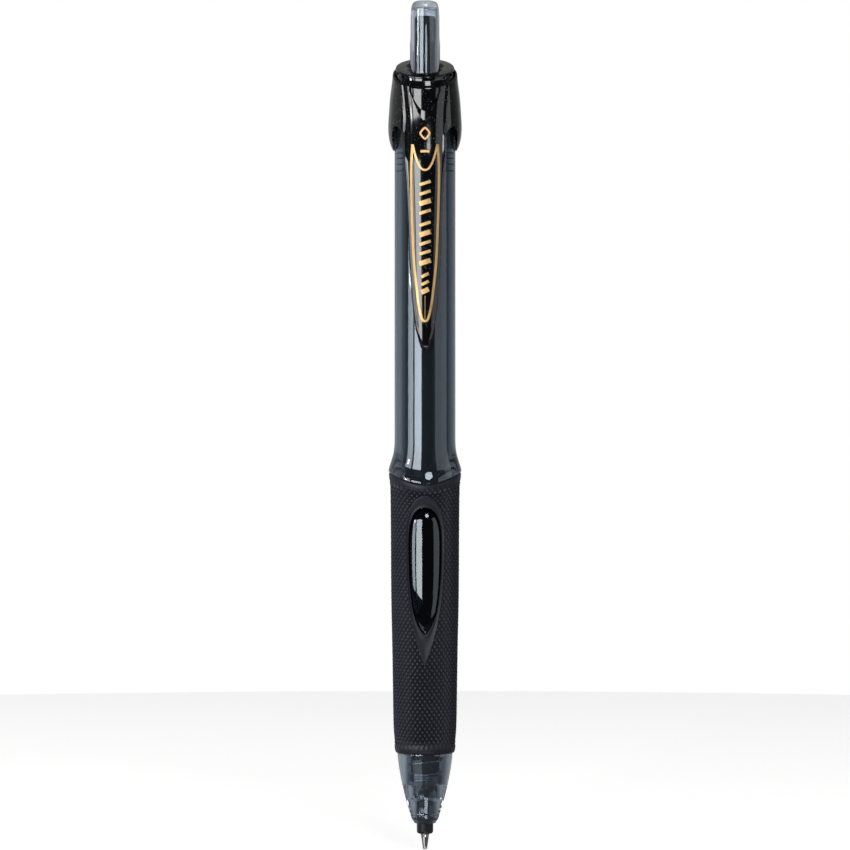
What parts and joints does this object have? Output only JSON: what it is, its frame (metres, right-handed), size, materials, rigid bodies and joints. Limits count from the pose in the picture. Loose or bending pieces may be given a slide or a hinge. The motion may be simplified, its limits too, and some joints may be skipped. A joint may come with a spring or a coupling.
{
  "type": "retractable ballpoint pen",
  "caption": "Click pen with a smoke-clear barrel, a textured rubber grip with a teardrop window, a pocket clip, a clear push button and a cartridge on a return spring.",
  "frame": {"origin": "the writing point: the lowest point of the ball, on the pen's axis, with the tip out", "axes": "+Z along the pen's axis from the point to the button, -Y towards the clip, +X to the right of the clip"},
  "size_m": [0.0124, 0.0139, 0.1435],
  "materials": {
    "smoke_plastic": "smoke-clear moulded polycarbonate, polished",
    "grip_rubber": "matte moulded rubber with a diamond texture",
    "black_gloss": "polished black moulding",
    "black_satin": "satin black moulding",
    "clear_button": "clear blue-grey moulding, polished",
    "guide_plastic": "dark grey acetal",
    "steel": "turned stainless steel",
    "spring_steel": "drawn spring wire",
    "ink": "black ink",
    "grease": "translucent follower grease",
    "refill_plastic": "smoke-black extruded polypropylene"
  },
  "bodies": {
    "barrel": {"barrel": "smoke_plastic", "grip_sleeve": "grip_rubber", "tail_collar": "black_gloss", "tail_bush": "black_gloss", "cam_sleeve": "guide_plastic", "return_spring": "spring_steel"},
    "nose": {"nose_cone": "smoke_plastic"},
    "clip": {"clip": "black_gloss"},
    "button": {"button_cap": "clear_button", "plunger": "black_satin"},
    "refill": {"refill_tube": "refill_plastic", "ink_column": "ink", "ink_follower": "grease", "refill_plug": "refill_plastic", "tip_holder": "black_satin", "point_cone": "steel", "point_spring": "spring_steel"},
    "rotor": {"cam_rotor": "guide_plastic"},
    "ball": {"writing_ball": "steel"}
  },
  "joints": [
    {"name": "refill_slide", "type": "slide", "parent": "barrel", "child": "refill", "axis": [0, 0, 1], "range_m": [-0.0012, 0.0054], "deforming": ["return_spring"]},
    {"name": "button_slide", "type": "slide", "parent": "barrel", "child": "button", "axis": [0, 0, 1], "range_m": [-0.0012, 0.0054]},
    {"name": "rotor_turn", "type": "hinge", "parent": "refill", "child": "rotor", "pos_m": [0, 0, 0.11], "axis": [0, 0, 1], "range_deg": [-10.2, 45.2]},
    {"name": "clip_flex", "type": "hinge", "parent": "barrel", "child": "clip", "pos_m": [0, -0.0067, 0.1204], "axis": [-1, 0, 0], "range_deg": [0, 4.5], "stiffness_Nm_per_rad": 0.8},
    {"name": "nose_cone_off", "type": "slide", "parent": "barrel", "child": "nose", "axis": [0, 0, -1], "range_m": [0, 0.012]},
    {"name": "ball_roll", "type": "hinge", "parent": "refill", "child": "ball", "pos_m": [0, 0, 0.00035], "axis": [1, 0, 0], "continuous": true}
  ],
  "couplings": [
    {"joint": "button_slide", "follows": "refill_slide", "ratio": 1},
    {"joint": "rotor_turn", "follows": "refill_slide", "rad_per_m": 145.44}
  ]
}
